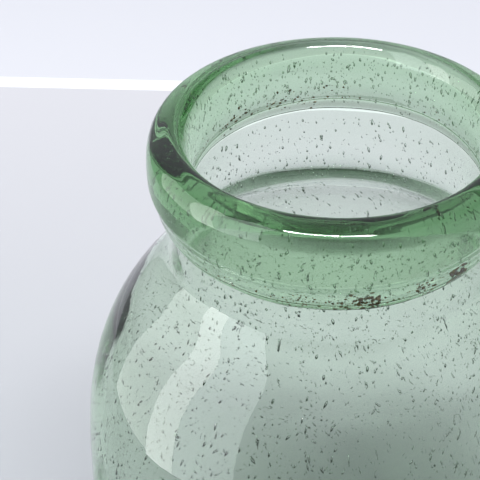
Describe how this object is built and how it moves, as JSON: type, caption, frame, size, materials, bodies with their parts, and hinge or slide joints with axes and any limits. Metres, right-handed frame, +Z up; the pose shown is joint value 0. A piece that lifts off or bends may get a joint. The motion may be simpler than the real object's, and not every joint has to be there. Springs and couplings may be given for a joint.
{
  "type": "glass storage jar",
  "caption": "Open mouth-blown storage jar in pale green seeded glass, with a thick rolled collar, short neck, round shoulder and pushed-up base.",
  "frame": {"origin": "centre of the foot plane the jar stands on", "axes": "+Z up, along the jar's axis of revolution, out of the mouth; +X and +Y square to it"},
  "size_m": [0.176, 0.176, 0.285],
  "materials": {
    "bottle_glass": "gloss, mouth-blown, with seeds and faint ripples"
  },
  "bodies": {
    "root": {"jar": "bottle_glass"}
  },
  "joints": []
}
